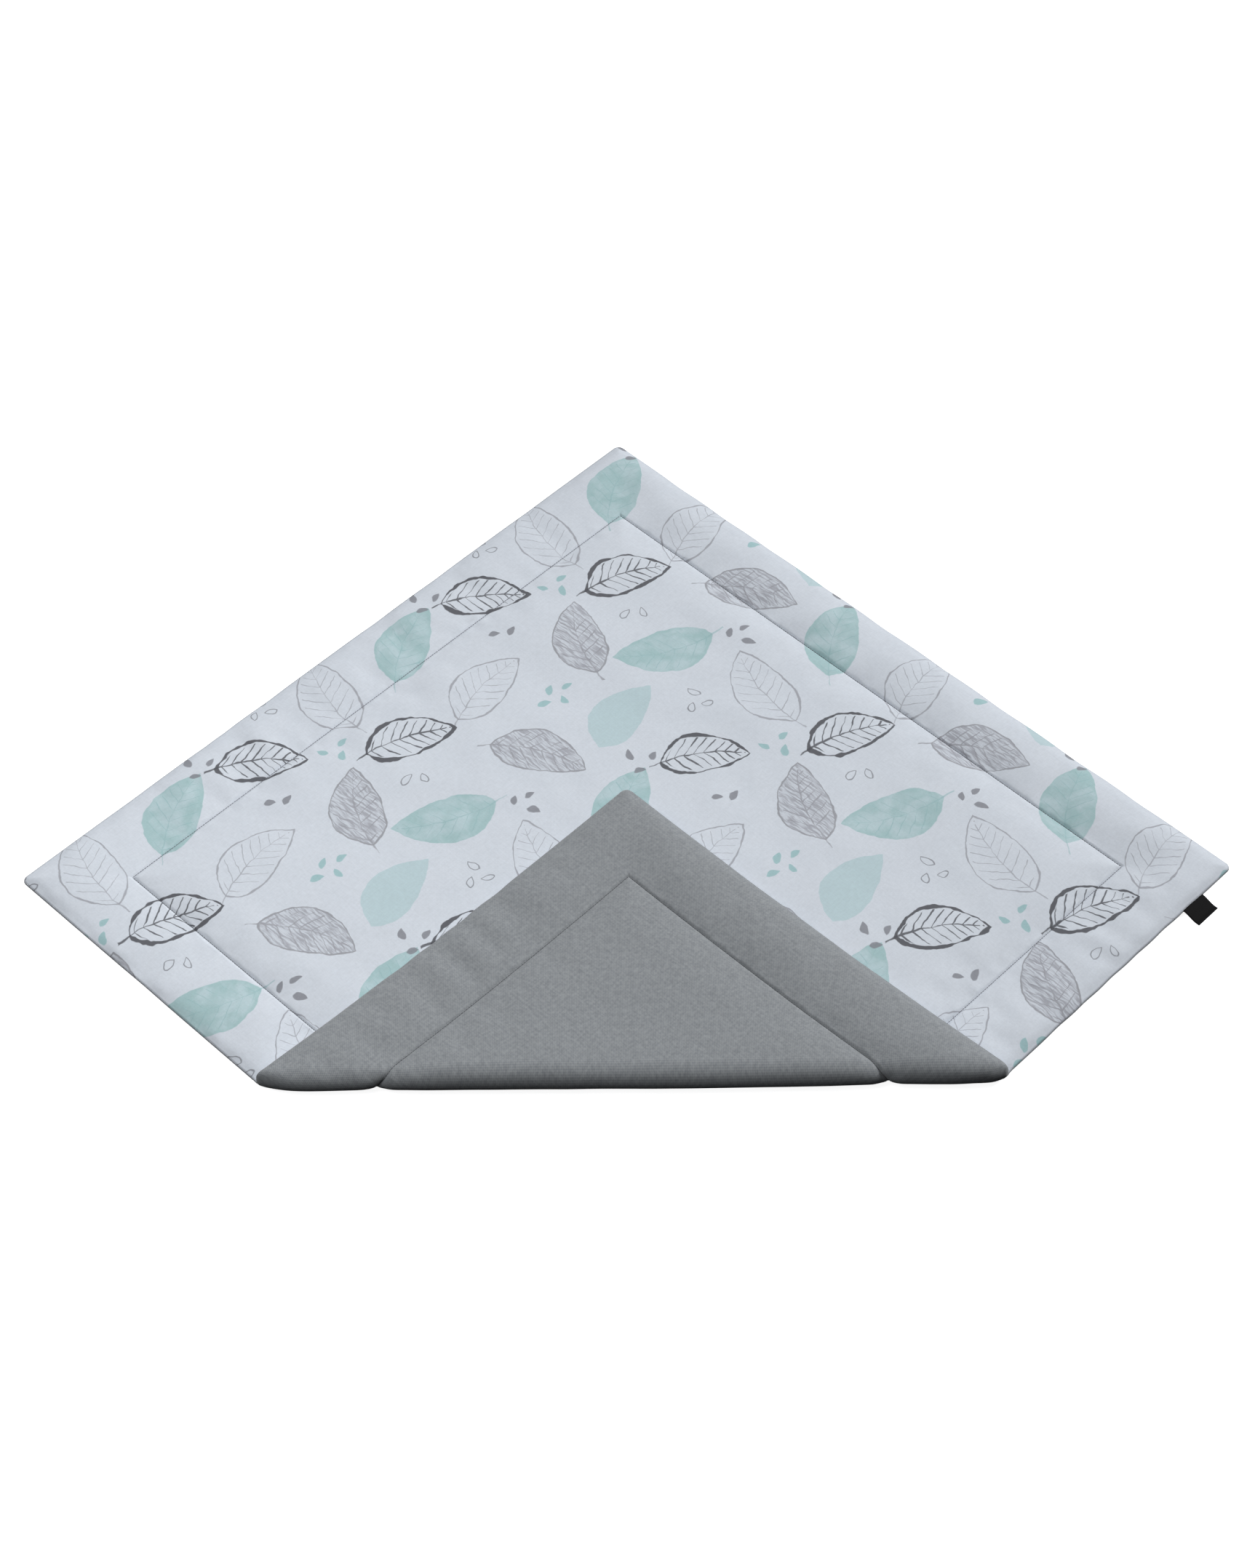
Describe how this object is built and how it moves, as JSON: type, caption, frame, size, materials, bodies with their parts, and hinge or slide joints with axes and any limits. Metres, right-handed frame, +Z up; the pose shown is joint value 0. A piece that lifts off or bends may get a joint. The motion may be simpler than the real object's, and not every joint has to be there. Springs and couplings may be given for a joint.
{
  "type": "padded teepee mat with one corner folded over",
  "caption": "Square padded cotton play mat with a quilted square near its edge, a plain backing and a ribbon tab, lying flat with one corner folded over onto its printed side.",
  "frame": {"origin": "middle of the bounding box, on the surface that the mat lies on", "axes": "+Z up, +Y from the folded front corner to the back corner, +X to the right-hand corner"},
  "size_m": [1.6888, 1.2146, 0.044],
  "materials": {
    "printed_cotton": "matt plain-weave cotton with a leaf and seed print",
    "grey_cotton": "matt plain-weave cotton, dyed grey",
    "black_ribbon": "black woven satin ribbon"
  },
  "bodies": {
    "root": {"print_panel": "printed_cotton", "backing_panel": "grey_cotton", "ribbon_tab": "black_ribbon"}
  },
  "joints": []
}
